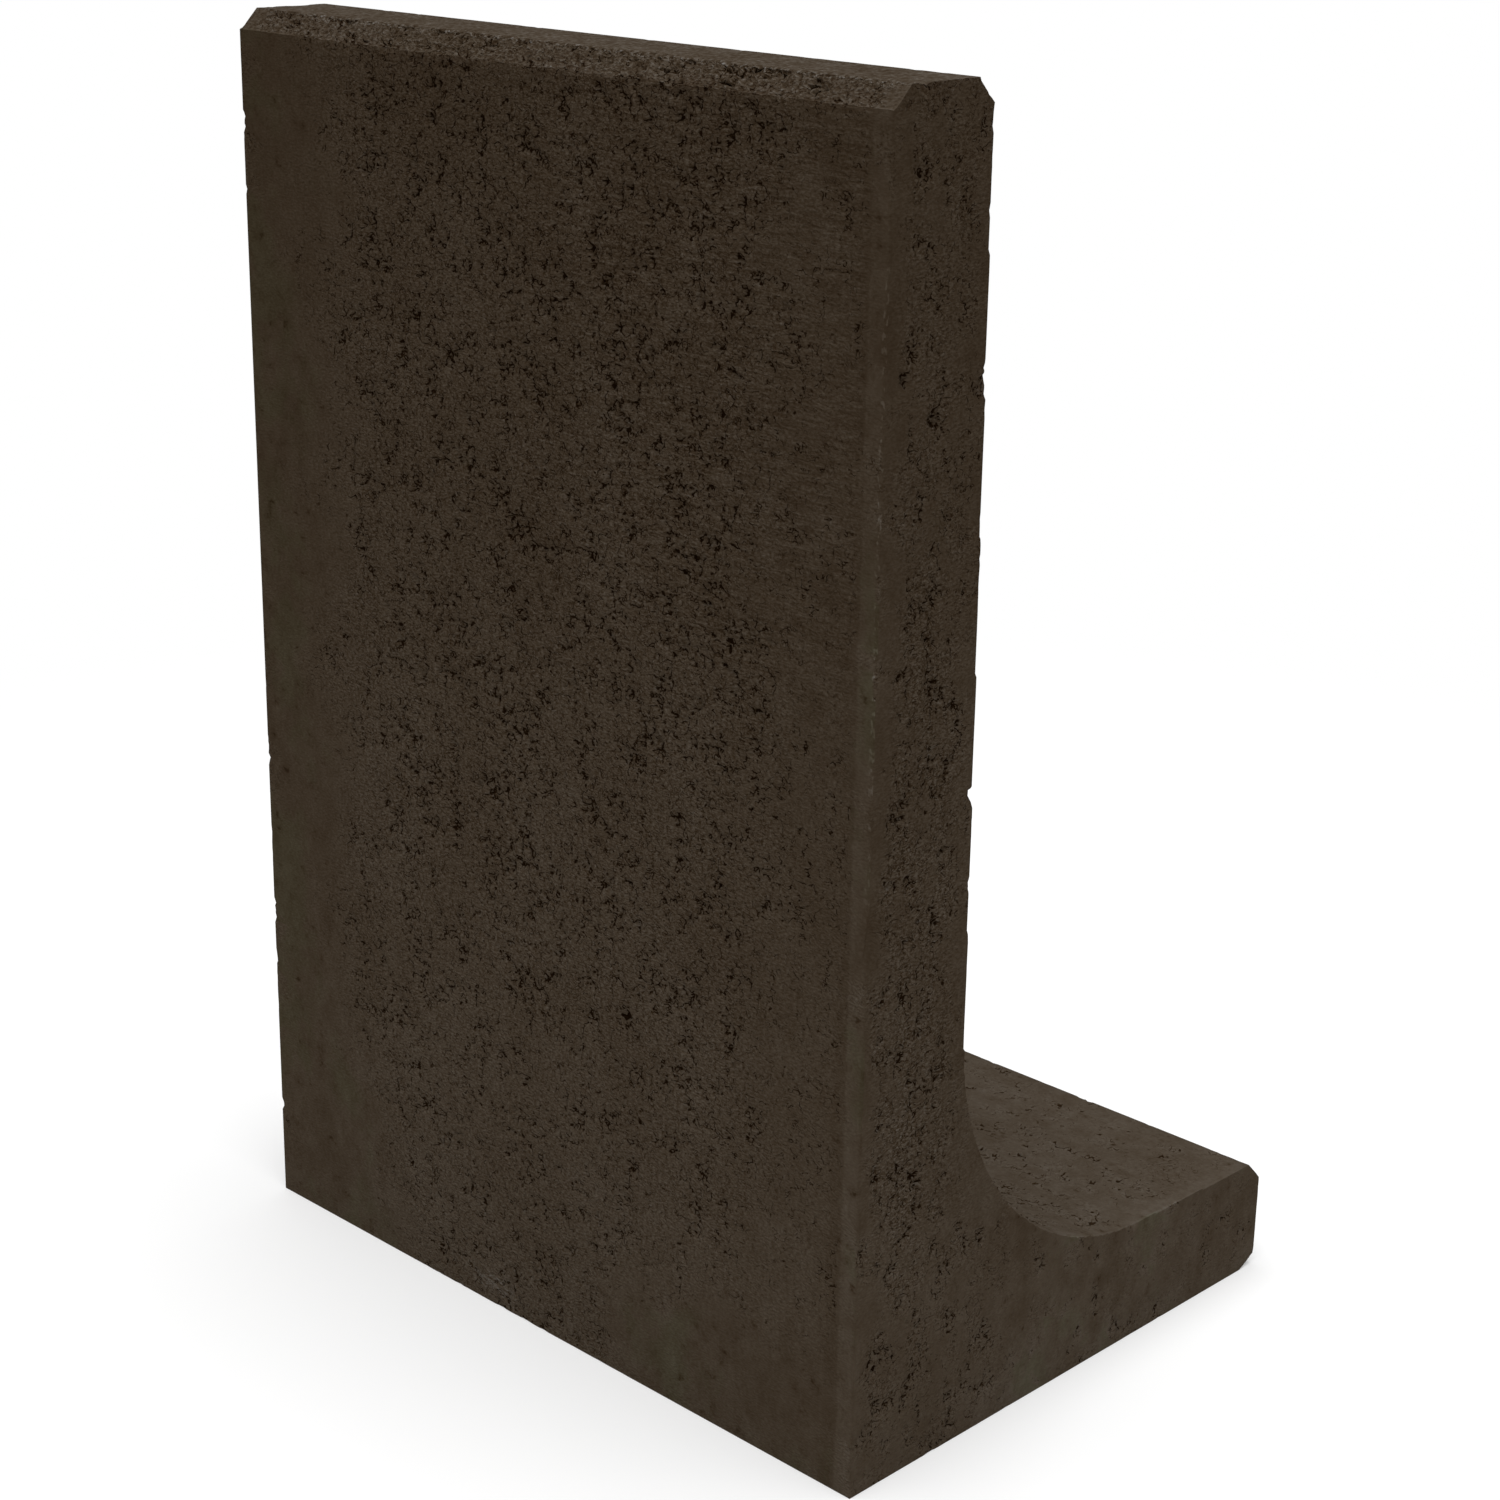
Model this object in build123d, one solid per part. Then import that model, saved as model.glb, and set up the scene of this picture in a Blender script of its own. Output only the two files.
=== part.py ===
from build123d import *
import math
import os

# L-shaped retaining wall element, cast as one piece of concrete. Millimetres, +Z up.
# The origin is on the floor, at the middle of the element's width and depth.
# X runs along the wall, the front face looks towards -Y and the foot reaches towards +Y.

# Overall size
wall_width = 400.0
wall_height = 600.0
element_depth = 300.0

# Stem: the upright leg, with an upright front face and a back face that leans for the mould
stem_top_thickness = 58.0
stem_back_draft_deg = 1.0

# Foot: the flat leg under the earth, with a top face that falls a little towards its end
foot_end_thickness = 58.0
foot_top_fall_deg = 1.5

# The large hollow curve between the stem's back and the foot's top
inner_fillet_radius = 138.0

# Bevelled edges: reach is measured along Y, drop or rise along Z
front_bevel_reach = 10.0
front_bevel_drop = 9.0
back_bevel_reach = 9.0
back_bevel_drop = 10.0
foot_top_bevel_reach = 10.0
foot_top_bevel_drop = 9.5
foot_base_bevel_reach = 11.0
foot_base_bevel_rise = 5.0


def inner_corner():
    """The point where the lines of the stem's back face and the foot's top face cross."""
    back_lean = math.tan(math.radians(stem_back_draft_deg))
    top_fall = math.tan(math.radians(foot_top_fall_deg))
    back_top_height = wall_height - back_bevel_drop
    foot_edge_depth = element_depth - foot_top_bevel_reach
    # depth = stem_top_thickness + back_lean * (back_top_height - height)
    # height = foot_end_thickness + top_fall * (foot_edge_depth - depth)
    depth_at_foot_height = stem_top_thickness + back_lean * (back_top_height - foot_end_thickness)
    depth = (depth_at_foot_height - back_lean * top_fall * foot_edge_depth) / (1 - back_lean * top_fall)
    height = foot_end_thickness + top_fall * (foot_edge_depth - depth)
    return depth, height


def section_face():
    """The L-shaped section, drawn with the depth along X and the height along Y."""
    corner = inner_corner()
    outline = Polyline(
        (0, 0),
        (element_depth - foot_base_bevel_reach, 0),
        (element_depth, foot_base_bevel_rise),
        (element_depth, foot_end_thickness - foot_top_bevel_drop),
        (element_depth - foot_top_bevel_reach, foot_end_thickness),
        corner,
        (stem_top_thickness, wall_height - back_bevel_drop),
        (stem_top_thickness - back_bevel_reach, wall_height),
        (front_bevel_reach, wall_height),
        (0, wall_height - front_bevel_drop),
        close=True,
    )
    sharp = make_face(outline)
    inner = min(sharp.vertices(), key=lambda v: math.dist((v.X, v.Y), corner))
    return fillet(inner, inner_fillet_radius)


def wall_element():
    """The whole casting: the section carried from one side of the wall to the other."""
    left_front_corner = (-wall_width / 2, -element_depth / 2, 0)
    side_plane = Plane(origin=left_front_corner, x_dir=(0, 1, 0), z_dir=(1, 0, 0))
    return extrude(side_plane * section_face(), wall_width)


os.makedirs("parts", exist_ok=True)
export_step(wall_element(), "parts/wall_element.step")
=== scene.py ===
import math
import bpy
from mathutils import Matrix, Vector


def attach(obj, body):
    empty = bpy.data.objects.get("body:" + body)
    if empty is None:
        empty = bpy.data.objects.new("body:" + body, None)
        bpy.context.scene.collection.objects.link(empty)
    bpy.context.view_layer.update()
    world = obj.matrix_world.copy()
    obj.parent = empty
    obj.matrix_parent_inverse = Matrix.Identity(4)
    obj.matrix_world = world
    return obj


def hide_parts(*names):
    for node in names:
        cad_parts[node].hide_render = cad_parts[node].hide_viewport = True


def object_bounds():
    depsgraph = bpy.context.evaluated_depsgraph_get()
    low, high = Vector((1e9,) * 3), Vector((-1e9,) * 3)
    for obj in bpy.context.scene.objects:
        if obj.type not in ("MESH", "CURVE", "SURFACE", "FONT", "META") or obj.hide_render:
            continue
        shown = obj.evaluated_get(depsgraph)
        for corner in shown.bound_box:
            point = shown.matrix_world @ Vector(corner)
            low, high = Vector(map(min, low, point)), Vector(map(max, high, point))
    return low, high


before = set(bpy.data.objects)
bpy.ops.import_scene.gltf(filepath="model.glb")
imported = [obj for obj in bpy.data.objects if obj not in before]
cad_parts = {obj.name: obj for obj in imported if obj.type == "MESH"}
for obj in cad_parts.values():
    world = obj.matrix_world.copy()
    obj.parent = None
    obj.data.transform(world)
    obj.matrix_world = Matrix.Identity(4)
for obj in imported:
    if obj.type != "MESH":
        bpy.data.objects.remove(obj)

from types import SimpleNamespace

import bmesh
import bpy
from mathutils import Matrix, Vector

# The casting's box, from the frame, in metres. The front face looks towards -Y.
cad_low, cad_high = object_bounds()
WIDTH = cad_high.x - cad_low.x
HEIGHT = cad_high.z
FRONT = cad_low.y
BACK = cad_high.y
HALF_WIDTH = WIDTH / 2

# The section: stem, foot, the hollow curve between them and the bevelled edges
STEM_TOP_THICKNESS = 0.058
STEM_BACK_DRAFT = math.radians(1.0)
FOOT_END_THICKNESS = 0.058
FOOT_TOP_FALL = math.radians(1.5)
CURVE_RADIUS = 0.138
CURVE_SEGMENTS = 60
FRONT_BEVEL_REACH = 0.010
FRONT_BEVEL_DROP = 0.009
BACK_BEVEL_REACH = 0.009
BACK_BEVEL_DROP = 0.010
FOOT_TOP_BEVEL_REACH = 0.010
FOOT_TOP_BEVEL_DROP = 0.0095
FOOT_BASE_BEVEL_REACH = 0.011
FOOT_BASE_BEVEL_RISE = 0.005

# The mesh: an even fine grain to press the pores into, thinned afterwards to a number of triangles
GRAIN_SIZE = 0.0010
TRIANGLE_BUDGET = 194000
SHARP_EDGE_ANGLE = math.radians(42)

# Depths of the pores, of the hollows between the front bevel's grains and of the wear along the edges
PORE_DEPTH = 0.0023
BEVEL_ROUGHNESS = 0.0013
ARRIS_WEAR = 0.0007

# How far the pores reach out from a crack line, in units of the crack field
PORE_REACH = 0.11

# The largest pits: the middle of each and its radius
LARGE_PITS = (
    ((0.058, FRONT, 0.182), 0.0045),
    ((0.076, FRONT, 0.316), 0.0055),
    ((0.100, FRONT, 0.507), 0.0045),
    ((-0.065, FRONT, 0.563), 0.0040),
    ((HALF_WIDTH, -0.139, 0.489), 0.0035),
    ((HALF_WIDTH, -0.120, 0.471), 0.0045),
    ((HALF_WIDTH, -0.088, 0.309), 0.0030),
)

# Marks on the front face: distances in from its right edge, places across it and heights above the floor
PALE_EDGE_STRIP = (0.0010, 0.0094)
DARK_BAND = (0.0110, 0.0170)
FLECKS_HEIGHT = (0.28, 0.54)
SCUFF_ACROSS = (-0.062, -0.020)
SCUFF_HEIGHT = (0.006, 0.017)

# The concrete's middle tones, as linear red, green and blue: upright faces, and level ones, which are paler
# partly because they are dusty and partly as painted light on the lit tops
SIDE_COLOUR = (0.0452, 0.0308, 0.0188, 1)
DUST_AND_LIGHT_COLOUR = (0.0590, 0.0441, 0.0305, 1)

# Relief too fine for the mesh, as bump: the height of loose grains and the depth of the cracks in the pores
GRAIN_RELIEF = 0.0011
CRACK_RELIEF = 0.00058

# A place belongs to a face from this distance to it, fully so from the second one
ON_FACE = (0.0012, 0.0004)

# The photo's camera, fitted to the corners and edges of the element
CAMERA_PLACE = (0.9179, -0.9633, 0.7142)
CAMERA_AZIMUTH = math.radians(44.007)
CAMERA_ELEVATION = math.radians(18.955)
CAMERA_ROLL = math.radians(0.985)
CAMERA_LENS = 69.68


def inner_corner():
    """Depth and height, from the front face and the floor, where the stem's back meets the foot's top."""
    lean, fall = math.tan(STEM_BACK_DRAFT), math.tan(FOOT_TOP_FALL)
    foot_edge_depth = BACK - FRONT - FOOT_TOP_BEVEL_REACH
    depth_low = STEM_TOP_THICKNESS + lean * (HEIGHT - BACK_BEVEL_DROP - FOOT_END_THICKNESS)
    depth = (depth_low - lean * fall * foot_edge_depth) / (1 - lean * fall)
    return depth, FOOT_END_THICKNESS + fall * (foot_edge_depth - depth)


def pick(kind, test):
    """In edit mode, selects only the verts, edges or faces whose middle and normal pass the test."""
    mesh = bpy.context.edit_object.data
    work = bmesh.from_edit_mesh(mesh)
    bpy.context.tool_settings.mesh_select_mode = [kind == mode for mode in ("verts", "edges", "faces")]
    bpy.ops.mesh.select_all(action="DESELECT")
    for item in getattr(work, kind):
        corners = [item] if kind == "verts" else item.verts
        middle = sum((v.co for v in corners), start=corners[0].co * 0) / len(corners)
        normal = item.normal if kind != "edges" else None
        item.select_set(bool(test(middle, normal)))
    bmesh.update_edit_mesh(mesh)


def cut_edge(depth, height, reach, drop):
    """Bevels a long edge: a flat cut through (depth, height) whose outward normal is (reach, drop)."""
    bpy.ops.mesh.select_all(action="SELECT")
    bpy.ops.mesh.bisect(
        plane_co=(0, FRONT + depth, height),
        plane_no=Vector((0, reach, drop)).normalized(),
        use_fill=True,
        clear_outer=True,
    )


def plain_casting():
    """The bare L: a foot block, the stem drawn up from it, leaning faces, bevels and the hollow curve."""
    root_depth, root_height = inner_corner()
    full_depth = BACK - FRONT
    bpy.ops.object.select_all(action="DESELECT")
    bpy.ops.mesh.primitive_cube_add(size=1, location=(0, 0, root_height / 2))
    casting = bpy.context.object
    casting.name = "concrete_casting"
    bpy.ops.transform.resize(value=(WIDTH, full_depth, root_height))
    bpy.ops.object.transform_apply(location=True, rotation=True, scale=True)
    bpy.ops.object.mode_set(mode="EDIT")
    bpy.ops.mesh.select_all(action="SELECT")
    bpy.ops.mesh.bisect(plane_co=(0, FRONT + root_depth, 0), plane_no=(0, 1, 0))
    end_thickness = FOOT_END_THICKNESS - math.tan(FOOT_TOP_FALL) * FOOT_TOP_BEVEL_REACH
    pick("verts", lambda middle, normal: middle.y > BACK - 0.001 and middle.z > 0.001)
    bpy.ops.transform.translate(value=(0, 0, end_thickness - root_height))
    foot_top = FOOT_END_THICKNESS - FOOT_TOP_BEVEL_DROP
    cut_edge(full_depth, foot_top, FOOT_TOP_BEVEL_DROP, FOOT_TOP_BEVEL_REACH)
    cut_edge(full_depth, FOOT_BASE_BEVEL_RISE, FOOT_BASE_BEVEL_RISE, -FOOT_BASE_BEVEL_REACH)
    pick("faces", lambda middle, normal: normal.z > 0.9 and middle.y < FRONT + root_depth)
    rise = (0, 0, HEIGHT - root_height)
    bpy.ops.mesh.extrude_region_move(TRANSFORM_OT_translate={"value": rise})
    top_thickness = STEM_TOP_THICKNESS - math.tan(STEM_BACK_DRAFT) * BACK_BEVEL_DROP
    pick("verts", lambda middle, normal: middle.z > HEIGHT - 0.001 and middle.y > FRONT + 0.001)
    bpy.ops.transform.translate(value=(0, top_thickness - root_depth, 0))
    cut_edge(0, HEIGHT - FRONT_BEVEL_DROP, -FRONT_BEVEL_DROP, FRONT_BEVEL_REACH)
    cut_edge(STEM_TOP_THICKNESS, HEIGHT - BACK_BEVEL_DROP, BACK_BEVEL_DROP, BACK_BEVEL_REACH)
    opening_angle = math.pi / 2 + STEM_BACK_DRAFT + FOOT_TOP_FALL
    root = Vector((0, FRONT + root_depth, root_height))
    pick("edges", lambda middle, normal: (middle - root).length < 0.001)
    bpy.ops.mesh.bevel(
        offset=CURVE_RADIUS / math.tan(opening_angle / 2),
        offset_type="OFFSET",
        segments=CURVE_SEGMENTS,
        profile=0.5,
        affect="EDGES",
    )
    bpy.ops.object.mode_set(mode="OBJECT")
    return casting


def apply_modifier(piece, kind, name, **settings):
    """Adds a modifier, sets it and applies it."""
    modifier = piece.modifiers.new(name, kind)
    for key, value in settings.items():
        setattr(modifier, key, value)
    bpy.ops.object.modifier_apply(modifier=name)


class Recipe:
    """Adds nodes to a tree. The casting's shape and its finish are made from the same fields."""

    def __init__(self, tree):
        self.tree = tree

    def add(self, kind, sockets=None, **settings):
        node = self.tree.nodes.new(kind)
        for name, value in settings.items():
            setattr(node, name, value)
        for name, value in (sockets or {}).items():
            if isinstance(value, bpy.types.NodeSocket):
                self.tree.links.new(value, node.inputs[name])
            else:
                node.inputs[name].default_value = value
        return node

    def math(self, operation, first, second=0.0):
        return self.add("ShaderNodeMath", {0: first, 1: second}, operation=operation).outputs[0]

    def product(self, *fields):
        result = fields[0]
        for field in fields[1:]:
            result = self.math("MULTIPLY", result, field)
        return result

    def total(self, *fields):
        result = fields[0]
        for field in fields[1:]:
            result = self.math("ADD", result, field)
        return result

    def highest(self, *fields):
        result = fields[0]
        for field in fields[1:]:
            result = self.math("MAXIMUM", result, field)
        return result

    def inverse(self, field):
        return self.math("SUBTRACT", 1.0, field)

    def vector(self, operation, first, second):
        return self.add("ShaderNodeVectorMath", {0: first, 1: second}, operation=operation).outputs[0]

    def distance(self, place, centre):
        return self.add("ShaderNodeVectorMath", {0: place, 1: centre}, operation="DISTANCE").outputs["Value"]

    def axes(self, place):
        return self.add("ShaderNodeSeparateXYZ", {0: place}).outputs

    def rise(self, value, low, high):
        """0 below low, 1 above high and a smooth step between; low above high makes it fall."""
        sockets = {"Value": value, "From Min": low, "From Max": high}
        return self.add("ShaderNodeMapRange", sockets, interpolation_type="SMOOTHSTEP").outputs[0]

    def between(self, value, low, high, soft):
        """1 between low and high, 0 outside, with soft edges."""
        above_low = self.rise(value, low - soft, low + soft)
        below_high = self.rise(value, high + soft, high - soft)
        return self.product(above_low, below_high)

    def noise(self, place, size, detail=2.0, roughness=0.5, seed=0.0):
        """Cloudy noise around 0.5 with lumps about size metres across; size may differ by axis."""
        sizes = size if isinstance(size, tuple) else (size, size, size)
        scaled = self.vector("MULTIPLY", place, tuple(1 / s for s in sizes))
        moved = self.vector("ADD", scaled, (seed * 17.3, seed * 5.1, seed * 9.7))
        sockets = {"Vector": moved, "Scale": 1.0, "Detail": detail, "Roughness": roughness}
        return self.add("ShaderNodeTexNoise", sockets).outputs[0]

    def swing(self, *args, **settings):
        """The same noise, moved to swing around 0."""
        return self.math("SUBTRACT", self.noise(*args, **settings), 0.5)

    def blurred(self, field, times, kind):
        """A field of the mesh, averaged with its neighbours a number of times."""
        sockets = {"Value": field, "Iterations": times}
        return self.add("GeometryNodeBlurAttribute", sockets, data_type=kind).outputs[0]

    def stored(self, geometry, name, field, kind):
        """The mesh with a field kept on its vertices, for the finish to read."""
        sockets = {"Geometry": geometry, "Name": name, "Value": field}
        node = self.add("GeometryNodeStoreNamedAttribute", sockets, data_type=kind, domain="POINT")
        return node.outputs[0]

    def kept(self, name):
        """A number kept on the vertices, read in the finish."""
        return self.add("ShaderNodeAttribute", attribute_name=name).outputs["Fac"]

    def blend(self, share, first, second):
        """The first colour where share is 0 and the second where it is 1."""
        return self.add("ShaderNodeMix", {0: share, 6: first, 7: second}, data_type="RGBA").outputs[2]


def faces(recipe, place):
    """Masks of the front, the sides and the front bevel, and how far in from the nearer side a place is."""
    across, depth, height = recipe.axes(place)
    to_side = recipe.math("SUBTRACT", HALF_WIDTH, recipe.math("ABSOLUTE", across))
    to_front = recipe.math("SUBTRACT", depth, FRONT)
    front = recipe.rise(to_front, *ON_FACE)
    side = recipe.rise(to_side, *ON_FACE)
    on_bevel_line = recipe.math(
        "SUBTRACT",
        recipe.math("DIVIDE", to_front, FRONT_BEVEL_REACH),
        recipe.math("DIVIDE", recipe.math("SUBTRACT", height, HEIGHT - FRONT_BEVEL_DROP), FRONT_BEVEL_DROP),
    )
    bevel = recipe.product(
        recipe.between(on_bevel_line, -0.15, 0.15, 0.06),
        recipe.rise(height, HEIGHT - FRONT_BEVEL_DROP - 0.0006, HEIGHT - FRONT_BEVEL_DROP + 0.0006),
        recipe.inverse(side),
    )
    return front, side, bevel, to_side


def front_zone(recipe, place, waver):
    """How open the front is: smooth along its left and right margins and in the bottom right corner."""
    across, _, height = recipe.axes(place)
    front, _, _, to_side = faces(recipe, place)
    across_wavy = recipe.math("ADD", across, waver)
    height_wavy = recipe.math("ADD", height, waver)
    low_down = recipe.rise(height_wavy, 0.085, 0.045)
    smooth_corner = recipe.product(recipe.rise(across_wavy, 0.03, 0.09), low_down, 0.78)
    from_left = recipe.math("SUBTRACT", across_wavy, recipe.product(recipe.rise(height, 0.14, 0.02), 0.035))
    return recipe.product(
        front,
        recipe.total(0.20, recipe.product(0.80, recipe.rise(from_left, -0.180, -0.105))),
        recipe.total(0.60, recipe.product(0.40, recipe.rise(across_wavy, 0.165, 0.115))),
        recipe.rise(to_side, 0.0095, 0.0120),
        recipe.total(0.82, recipe.product(0.18, recipe.rise(height_wavy, 0.10, 0.26))),
        recipe.inverse(smooth_corner),
    )


def side_zone(recipe, place, waver):
    """How open the sides are: pitted up the stem and round its root, with a few patches on the foot."""
    _, depth, height = recipe.axes(place)
    _, side, _, _ = faces(recipe, place)
    height_wavy = recipe.math("ADD", height, waver)
    depth_wavy = recipe.math("ADD", depth, recipe.product(waver, 0.3))
    patches = recipe.noise(place, (0.014, 0.014, 0.019), 3.0, 0.65, seed=2)
    reach = recipe.total(0.065, recipe.product(waver, 1.5))
    root = recipe.product(recipe.rise(height_wavy, 0.13, 0.05), reach)
    near_foot = recipe.rise(height_wavy, 0.15, 0.06)
    side_patches = recipe.product(
        recipe.rise(recipe.math("SUBTRACT", patches, recipe.product(near_foot, 0.020)), 0.36, 0.54),
        recipe.total(0.62, recipe.product(near_foot, 0.20)),
    )
    stem_side = recipe.product(
        side,
        recipe.rise(depth_wavy, FRONT + 0.005, FRONT + 0.014),
        recipe.rise(depth_wavy, recipe.total(root, FRONT + 0.070),
                    recipe.total(recipe.product(root, 0.4), FRONT + 0.046)),
        recipe.total(0.44, recipe.product(near_foot, -0.28), side_patches),
        recipe.total(0.80, recipe.product(0.20, recipe.rise(height_wavy, 0.46, 0.36))),
    )
    sparse_patches = recipe.product(recipe.rise(patches, 0.50, 0.62), 0.78)
    foot_side = recipe.product(side, recipe.total(0.06, sparse_patches))
    return recipe.highest(stem_side, foot_side)


def back_zone(recipe, place):
    """How open the other faces are: pitted in rows, but smooth on the stem's top."""
    _, depth, height = recipe.axes(place)
    front, side, _, to_side = faces(recipe, place)
    rows = recipe.noise(place, (0.020, 0.008, 0.014), 2.0, 0.6, seed=8)
    sparser = recipe.product(recipe.rise(depth, -0.06, 0.15), 0.15)
    row_pits = recipe.product(
        recipe.rise(recipe.math("SUBTRACT", rows, sparser), 0.39, 0.50),
        recipe.rise(to_side, 0.006, 0.014),
        recipe.rise(height, HEIGHT + 0.0006, HEIGHT - 0.0020),
        0.84,
    )
    return recipe.product(recipe.inverse(recipe.highest(front, side)), recipe.total(0.08, row_pits))


def pitted_zone(recipe, place, waver):
    """How open the surface is, 0 to 1: rough in the middle of the faces, smooth along their margins."""
    across, _, _ = recipe.axes(place)
    _, _, bevel, _ = faces(recipe, place)
    inside_ends = recipe.product(recipe.rise(across, -0.170, -0.155), recipe.rise(across, 0.195, 0.190))
    rough_bevel = recipe.product(bevel, inside_ends, 0.92)
    return recipe.highest(
        front_zone(recipe, place, waver),
        side_zone(recipe, place, waver),
        back_zone(recipe, place),
        rough_bevel,
    )


def looseness(recipe, place, zone):
    """How wide the cracks gape, 0 to about 1: in small, mostly upright clusters inside the pitted zone."""
    cluster = recipe.rise(recipe.noise(place, (0.009, 0.009, 0.014), 2.0, 0.65, seed=3), 0.40, 0.68)
    clusters = [recipe.product(zone, recipe.total(0.36, recipe.product(0.64, cluster)))]
    for centre, radius in LARGE_PITS:
        distance = recipe.distance(place, centre)
        clusters.append(recipe.product(recipe.rise(distance, radius * 1.2, radius * 0.4), 1.6))
    return recipe.highest(*clusters)


def crack_lines(recipe, place, level):
    """A field that is 0 along crooked lines round flat lumps of mortar, and grows on both sides of them.

    The lumps are about twice as large on the foot's top, which the mould didn't press.
    """
    upright_lumps = recipe.swing(place, (0.0050, 0.0050, 0.0046), 2.0, 0.55, seed=5)
    level_lumps = recipe.swing(place, (0.0075, 0.0110, 0.0110), 2.0, 0.60, seed=5)
    upright_part = recipe.product(upright_lumps, recipe.inverse(level))
    level_part = recipe.product(level_lumps, level)
    return recipe.math("ABSOLUTE", recipe.total(upright_part, level_part))


def mesh_recipe(name):
    """The recipe of a new tree of geometry nodes, and the mesh that goes into it."""
    tree = bpy.data.node_groups.new(name, "GeometryNodeTree")
    for way in ("INPUT", "OUTPUT"):
        tree.interface.new_socket("Geometry", in_out=way, socket_type="NodeSocketGeometry")
    recipe = Recipe(tree)
    return recipe, recipe.add("NodeGroupInput").outputs[0]


def worn_arrises(recipe, place, facing):
    """Where the edges are nibbled. At an edge the surface's direction differs from its average nearby."""
    front, _, _, _ = faces(recipe, place)
    across, _, _ = recipe.axes(place)
    average = recipe.blurred(facing, 4, "FLOAT_VECTOR")
    likeness = recipe.add("ShaderNodeVectorMath", {0: average, 1: facing}, operation="DOT_PRODUCT")
    turning = recipe.rise(likeness.outputs["Value"], 0.995, 0.93)
    sharp_left_arris = recipe.product(front, recipe.rise(across, -0.18, -0.19))
    nibble = recipe.rise(recipe.noise(place, 0.009, 4.0, 0.65, seed=7), 0.56, 0.76)
    return recipe.product(turning, recipe.inverse(sharp_left_arris), nibble)


def carve_pores(casting):
    """Geometry nodes that press the pores, the rough bevel and the worn edges into the even mesh."""
    recipe, start = mesh_recipe("pores_and_wear")
    place = recipe.add("GeometryNodeInputPosition").outputs[0]
    facing = recipe.add("GeometryNodeInputNormal").outputs[0]
    waver = recipe.product(recipe.swing(place, 0.05, 2.0, seed=1), 0.10)
    zone = pitted_zone(recipe, place, waver)
    loose = looseness(recipe, place, zone)
    _, _, height = recipe.axes(place)
    _, _, upwards = recipe.axes(facing)
    level = recipe.product(recipe.rise(upwards, 0.2, 0.9), recipe.rise(height, 0.30, 0.25))
    line = crack_lines(recipe, place, level)
    pore = recipe.rise(recipe.math("SUBTRACT", recipe.product(loose, PORE_REACH), line), 0.0, PORE_REACH)
    _, _, bevel, _ = faces(recipe, place)
    granular = recipe.rise(recipe.noise(place, 0.0030, 3.0, 0.6, seed=6), 0.38, 0.66)
    depth = recipe.total(
        recipe.product(pore, PORE_DEPTH),
        recipe.product(bevel, zone, granular, BEVEL_ROUGHNESS),
        recipe.product(worn_arrises(recipe, place, facing), ARRIS_WEAR),
    )
    above_floor = recipe.rise(height, -0.002, 0.005)
    inwards = recipe.product(recipe.blurred(depth, 1, "FLOAT"), above_floor, -1.0)
    push = recipe.add("ShaderNodeVectorMath", {0: facing, "Scale": inwards}, operation="SCALE")
    stored = recipe.stored(start, "cast_place", place, "FLOAT_VECTOR")
    for name, field in (("zone", zone), ("loose", loose), ("level", level)):
        stored = recipe.stored(stored, name, field, "FLOAT")
    moved = recipe.add("GeometryNodeSetPosition", {"Geometry": stored, "Offset": push.outputs[0]}).outputs[0]
    recipe.add("NodeGroupOutput", {0: moved})
    apply_modifier(casting, "NODES", "pores_and_wear", node_group=recipe.tree)


def keep_in_box(casting):
    """Moves any vertex that the thinning has put outside the casting's box back onto it."""
    recipe, start = mesh_recipe("keep_in_box")
    place = recipe.add("GeometryNodeInputPosition").outputs[0]
    inside = recipe.vector("MINIMUM", recipe.vector("MAXIMUM", place, tuple(cad_low)), tuple(cad_high))
    moved = recipe.add("GeometryNodeSetPosition", {"Geometry": start, "Position": inside}).outputs[0]
    recipe.add("NodeGroupOutput", {0: moved})
    apply_modifier(casting, "NODES", "keep_in_box", node_group=recipe.tree)


def cleared_recipe(owner):
    """The recipe of a material or a world, emptied of its first nodes."""
    owner.use_nodes = True
    owner.node_tree.nodes.clear()
    return Recipe(owner.node_tree)


def surface_fields(recipe):
    """What the finish knows of a spot: its place, the face it lies on and how open the surface is there."""
    place = recipe.add("ShaderNodeAttribute", attribute_name="cast_place").outputs["Vector"]
    facing = recipe.add("ShaderNodeNewGeometry").outputs["Normal"]
    across, depth, height = recipe.axes(place)
    _, _, upwards = recipe.axes(facing)
    front, side, bevel, to_side = faces(recipe, place)
    return SimpleNamespace(
        place=place,
        across=across,
        height=height,
        to_side=to_side,
        front=front,
        side=side,
        bevel=bevel,
        foot_side=recipe.product(side, recipe.rise(depth, -0.08, -0.03)),
        side_near_foot=recipe.product(side, recipe.rise(height, 0.15, 0.05)),
        top=recipe.product(recipe.rise(height, HEIGHT - 0.0015, HEIGHT - 0.0005), recipe.inverse(side)),
        zone=recipe.kept("zone"),
        loose=recipe.kept("loose"),
        level=recipe.kept("level"),
        # Upward faces: dusty, and made paler as painted light on the lit tops
        dust_and_light=recipe.rise(upwards, 0.2, 0.9),
    )


def cracks(recipe, spot):
    """Masks of the cracks, of the hollows that they lie in and of the short thin tears between them."""
    fine = recipe.noise(spot.place, (0.0024, 0.0024, 0.0020), 1.0, 0.55, seed=9)
    line = crack_lines(recipe, spot.place, spot.level)
    gape = recipe.product(spot.loose, recipe.total(0.050, recipe.product(spot.level, 0.030)))
    width = recipe.product(gape, recipe.rise(fine, 0.38, 0.58))
    crack = recipe.rise(recipe.math("SUBTRACT", width, line), 0.0, 0.028)
    hollow = recipe.rise(recipe.math("SUBTRACT", recipe.product(width, 1.8), line), 0.0, 0.06)
    contour = recipe.math("ABSOLUTE", recipe.math("SUBTRACT", fine, 0.5))
    tear = recipe.rise(recipe.math("SUBTRACT", recipe.product(spot.zone, 0.045), contour), 0.0, 0.045)
    return crack, hollow, tear


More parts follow.
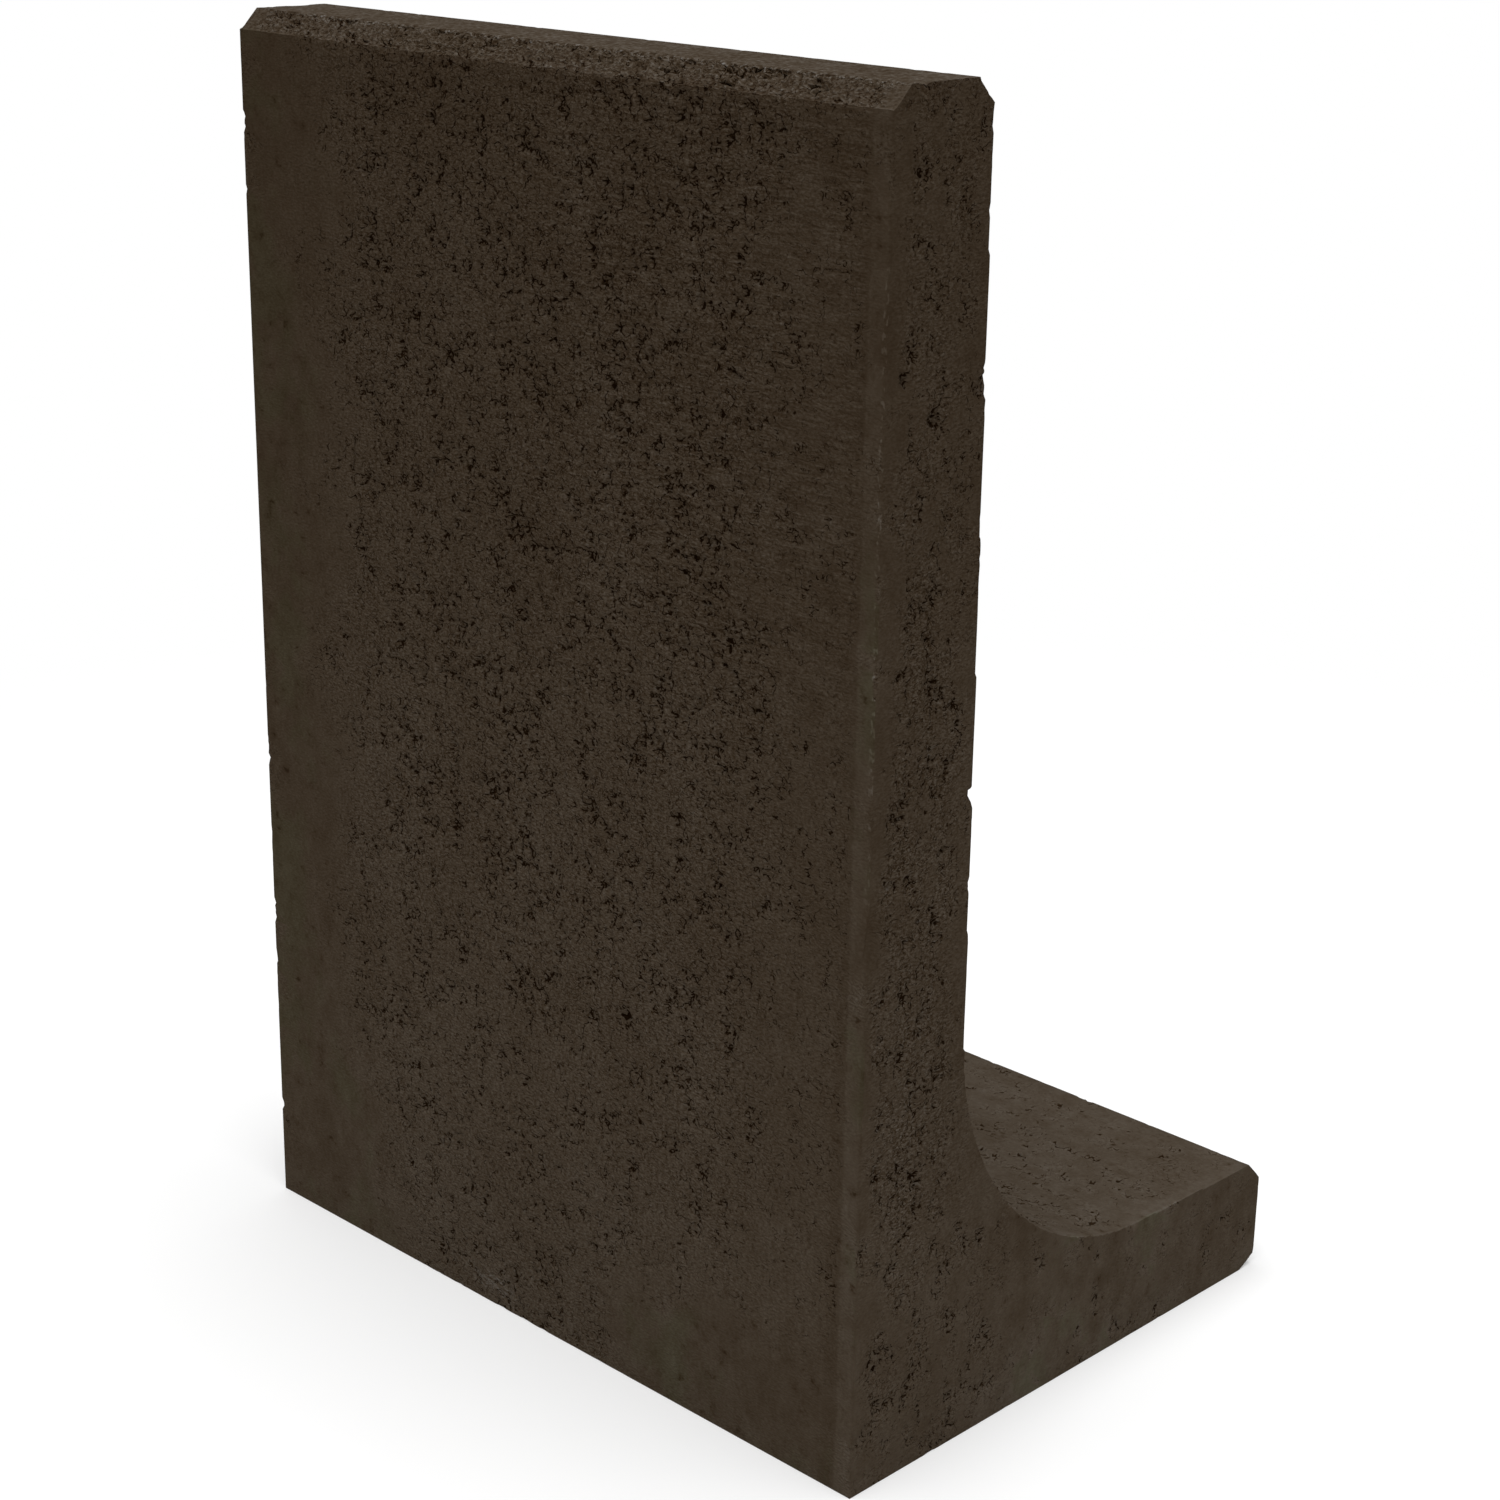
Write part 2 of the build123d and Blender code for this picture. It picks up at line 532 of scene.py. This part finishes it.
def loose_grains(recipe, spot):
    """Fine speckle: strong where the surface is open, calmer on the foot and low on the sides."""
    speckle = recipe.swing(spot.place, (0.0019, 0.0019, 0.0009), 1.0, 0.6, seed=10)
    strength = recipe.total(
        0.18,
        recipe.product(spot.zone, 0.58),
        recipe.product(spot.top, 0.60),
        recipe.product(spot.bevel, 0.40),
    )
    calm = recipe.product(recipe.highest(spot.foot_side, spot.level, spot.side_near_foot), 0.5)
    return recipe.product(speckle, strength, recipe.inverse(calm))


def stains(recipe, spot):
    """Small dark stains on the closed parts of the front and the foot."""
    stain = recipe.noise(spot.place, (0.0090, 0.0070, 0.0080), 3.0, 0.7, seed=16)
    return recipe.product(
        recipe.total(recipe.product(recipe.rise(stain, 0.52, 0.72), 0.45), recipe.rise(stain, 0.66, 0.74)),
        recipe.highest(spot.front, spot.foot_side, spot.level),
        recipe.inverse(spot.zone),
    )


def mottling(recipe, spot):
    """Soft lighter and darker spots, a centimetre or two across, where the surface is closed."""
    mottle = recipe.swing(spot.place, (0.012, 0.012, 0.017), 3.0, 0.7, seed=17)
    return recipe.product(mottle, recipe.inverse(recipe.product(spot.zone, 0.9)))


def dragged_lines(recipe, spot):
    """Fine level lines high up on the right of the front, left by the mould."""
    dragged = recipe.product(
        spot.front,
        recipe.rise(spot.height, 0.25, 0.45),
        recipe.rise(spot.across, -0.08, 0.06),
        recipe.rise(spot.to_side, 0.009, 0.012),
    )
    return recipe.product(recipe.swing(spot.place, (0.011, 0.011, 0.0011), 1.0, 0.6, seed=12), dragged)


def right_edge_marks(recipe, spot):
    """Octaves of tone along the front's right edge: a paler strip, with bright flecks and a darker band."""
    right_front = recipe.product(spot.front, recipe.rise(spot.across, 0.10, 0.15))
    pale_strip = recipe.product(right_front, recipe.between(spot.to_side, *PALE_EDGE_STRIP, 0.0009), 0.27)
    dark_band = recipe.product(
        right_front,
        recipe.between(spot.to_side, *DARK_BAND, 0.0020),
        recipe.rise(spot.height, 0.45, 0.20),
        -0.14,
    )
    flecks = recipe.rise(recipe.noise(spot.place, (0.0018, 0.0018, 0.0032), 1.0, seed=14), 0.52, 0.66)
    bright_flecks = recipe.product(
        right_front,
        recipe.rise(spot.to_side, 0.0024, 0.0012),
        flecks,
        recipe.between(spot.height, *FLECKS_HEIGHT, 0.03),
        0.9,
    )
    return recipe.total(pale_strip, dark_band, bright_flecks)


def scuff(recipe, spot):
    """Pale strokes low down on the front that slope down to the right by 15 degrees."""
    cosine, sine = 0.97, 0.26
    along = recipe.total(recipe.product(spot.across, cosine), recipe.product(spot.height, -sine))
    upwards = recipe.total(recipe.product(spot.across, sine), recipe.product(spot.height, cosine))
    stroke = recipe.add("ShaderNodeCombineXYZ", {0: along, 1: 0.0, 2: upwards}).outputs[0]
    strokes = recipe.rise(recipe.noise(stroke, (0.010, 0.010, 0.0019), 1.0, seed=15), 0.46, 0.60)
    return recipe.product(
        spot.front,
        recipe.between(spot.across, *SCUFF_ACROSS, 0.007),
        recipe.between(spot.height, *SCUFF_HEIGHT, 0.004),
        strokes,
        0.65,
    )


def tone_octaves(recipe, spot, grain, crack, tear, cloud):
    """How much lighter or darker than its middle tone a spot is, in doublings.

    It is paler low down as painted light from the floor, paler on the foot's sides, and paler on upward
    faces, partly because they are dusty and partly as painted light on the lit tops.
    """
    # Painted light: paler towards the bottom, as if lit from the floor below, and less so on upward faces
    low_down = recipe.product(
        recipe.inverse(recipe.math("DIVIDE", spot.height, HEIGHT)),
        recipe.math("SUBTRACT", 0.65, recipe.product(spot.dust_and_light, 0.49)),
    )
    return recipe.total(
        recipe.product(grain, 4.0),
        # The cracks and tears are darker: partly their own darker colour, partly painted shade in their
        # depths
        recipe.product(tear, -1.15),
        recipe.product(crack, recipe.inverse(recipe.product(spot.level, 0.25)), -3.2),
        recipe.product(stains(recipe, spot), -1.0),
        recipe.product(mottling(recipe, spot), 1.3),
        recipe.product(dragged_lines(recipe, spot), 1.6),
        recipe.product(cloud, recipe.total(0.8, recipe.product(spot.foot_side, 0.8))),
        recipe.product(spot.bevel, -0.16),
        recipe.product(spot.top, 0.21),
        recipe.product(spot.zone, 0.31),
        recipe.product(spot.side, recipe.inverse(spot.foot_side), 0.05),
        recipe.product(spot.foot_side, 0.17),
        recipe.product(spot.level, 0.10),
        recipe.product(spot.dust_and_light, recipe.rise(spot.to_side, 0.008, 0.004), 0.15),
        right_edge_marks(recipe, spot),
        scuff(recipe, spot),
        low_down,
    )


def greenish_share(recipe, spot, cloud):
    """Where a faint green shows: on closed, paler stretches, and more along the front's left margin."""
    left_margin = recipe.product(spot.front, recipe.rise(spot.across, -0.140, -0.180), 0.06)
    return recipe.product(
        recipe.rise(recipe.total(cloud, left_margin), 0.0, 0.14),
        recipe.rise(spot.zone, 0.45, 0.20),
        recipe.highest(spot.front, spot.foot_side),
    )


def coloured(recipe, octaves, dust_and_light, greenish):
    """The concrete's colour, made lighter or darker by a number of octaves.

    Dark spots are browner than light ones: red changes least from tone to tone, and blue most.
    """
    grey_steps = recipe.add("ShaderNodeCombineXYZ", {0: octaves, 1: octaves, 2: octaves}).outputs[0]
    tone = recipe.vector("POWER", (2.0, 2.0, 2.0), recipe.vector("MULTIPLY", grey_steps, (0.82, 1.0, 1.24)))
    # Upward faces take the paler colour: partly because they are dusty, partly as painted light on the lit
    # tops
    mixed = recipe.blend(dust_and_light, SIDE_COLOUR, DUST_AND_LIGHT_COLOUR)
    tinted = recipe.blend(greenish, mixed, recipe.vector("MULTIPLY", mixed, (0.93, 1.01, 0.92)))
    return recipe.vector("MULTIPLY", tinted, tone)


def concrete():
    """Dark brown-grey dry-cast concrete: pitted, matt, paler on top, partly because it is dusty and partly
    as painted light.
    """
    material = bpy.data.materials.new("dark_dry_cast_concrete")
    recipe = cleared_recipe(material)
    spot = surface_fields(recipe)
    crack, hollow, tear = cracks(recipe, spot)
    grain = loose_grains(recipe, spot)
    cloud = recipe.swing(spot.place, (0.05, 0.05, 0.07), 4.0, 0.68, seed=13)
    octaves = tone_octaves(recipe, spot, grain, crack, tear, cloud)
    colour = coloured(recipe, octaves, spot.dust_and_light, greenish_share(recipe, spot, cloud))
    relief = recipe.total(
        recipe.product(grain, GRAIN_RELIEF),
        recipe.product(hollow, recipe.inverse(recipe.product(spot.dust_and_light, 0.7)), -CRACK_RELIEF),
    )
    bump = recipe.add("ShaderNodeBump", {"Height": relief, "Distance": 1.0, "Strength": 1.0}).outputs[0]
    surface = recipe.add("ShaderNodeBsdfPrincipled", {"Base Color": colour, "Normal": bump})
    surface.inputs["Roughness"].default_value = 0.92
    surface.inputs["Specular IOR Level"].default_value = 0.0
    recipe.add("ShaderNodeOutputMaterial", {"Surface": surface.outputs[0]})
    return material


def concrete_casting():
    """The whole element as it came from the mould."""
    casting = plain_casting()
    apply_modifier(casting, "REMESH", "even_grain", mode="VOXEL", voxel_size=GRAIN_SIZE)
    carve_pores(casting)
    triangles = 2 * len(casting.data.polygons)
    apply_modifier(casting, "DECIMATE", "thin_flat_stretches", ratio=TRIANGLE_BUDGET / triangles,
                   use_collapse_triangulate=True)
    keep_in_box(casting)
    bpy.ops.object.shade_smooth_by_angle(angle=SHARP_EDGE_ANGLE)
    casting.data.materials.append(concrete())
    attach(casting, "root")
    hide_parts("wall_element")
    return casting


def pale_floor():
    """A plain pale floor that runs into the white background."""
    bpy.ops.object.select_all(action="DESELECT")
    bpy.ops.mesh.primitive_circle_add(vertices=96, radius=12, fill_type="NGON", location=(0, 0, -0.0002))
    floor = bpy.context.object
    floor.name = "floor"
    material = bpy.data.materials.new("pale_floor")
    recipe = cleared_recipe(material)
    place = recipe.add("ShaderNodeTexCoord").outputs["Object"]
    distance = recipe.add("ShaderNodeVectorMath", {0: place}, operation="LENGTH").outputs["Value"]
    seen = recipe.add("ShaderNodeLightPath").outputs["Is Camera Ray"]
    matt = recipe.add("ShaderNodeBsdfDiffuse", {"Color": (0.72, 0.72, 0.72, 1)}).outputs[0]
    own_light = recipe.product(seen, 0.26)
    glow = recipe.add("ShaderNodeEmission", {"Color": (1, 1, 1, 1), "Strength": own_light}).outputs[0]
    lit = recipe.add("ShaderNodeAddShader", {0: matt, 1: glow}).outputs[0]
    white = recipe.add("ShaderNodeEmission", {"Color": (1, 1, 1, 1), "Strength": 1.0}).outputs[0]
    far = recipe.product(recipe.rise(distance, 0.45, 1.1), seen)
    mixed = recipe.add("ShaderNodeMixShader", {0: far, 1: lit, 2: white}).outputs[0]
    recipe.add("ShaderNodeOutputMaterial", {"Surface": mixed})
    floor.data.materials.append(material)


def soft_light():
    """Even light from all round, with a broad soft lamp overhead."""
    world = bpy.data.worlds.new("studio")
    bpy.context.scene.world = world
    recipe = cleared_recipe(world)
    path = recipe.add("ShaderNodeLightPath").outputs
    seen = recipe.highest(path["Is Camera Ray"], path["Is Glossy Ray"], path["Is Transmission Ray"])
    strength = recipe.total(0.25, recipe.product(seen, 0.75))
    background = recipe.add("ShaderNodeBackground", {"Color": (1, 1, 1, 1), "Strength": strength}).outputs[0]
    recipe.add("ShaderNodeOutputWorld", {"Surface": background})

    bpy.ops.object.light_add(type="SUN", location=(0.4, -0.4, 3))
    lamp = bpy.context.object
    lamp.name = "overhead_softbox"
    lamp.data.energy = 3.0
    lamp.data.angle = math.radians(60)
    lamp.rotation_euler = (math.radians(8), math.radians(7), 0)


def photo_camera():
    """The camera as it stood for the photo."""
    data = bpy.data.cameras.new("photo_camera")
    data.lens = CAMERA_LENS
    camera = bpy.data.objects.new("photo_camera", data)
    bpy.context.scene.collection.objects.link(camera)
    turn = Matrix.Rotation(CAMERA_AZIMUTH, 4, "Z")
    tilt = Matrix.Rotation(math.pi / 2 - CAMERA_ELEVATION, 4, "X")
    roll = Matrix.Rotation(CAMERA_ROLL, 4, "Z")
    camera.matrix_world = Matrix.Translation(CAMERA_PLACE) @ turn @ tilt @ roll
    bpy.context.scene.camera = camera


bpy.context.scene.view_settings.view_transform = "Standard"
photo_camera()
soft_light()
pale_floor()
concrete_casting()
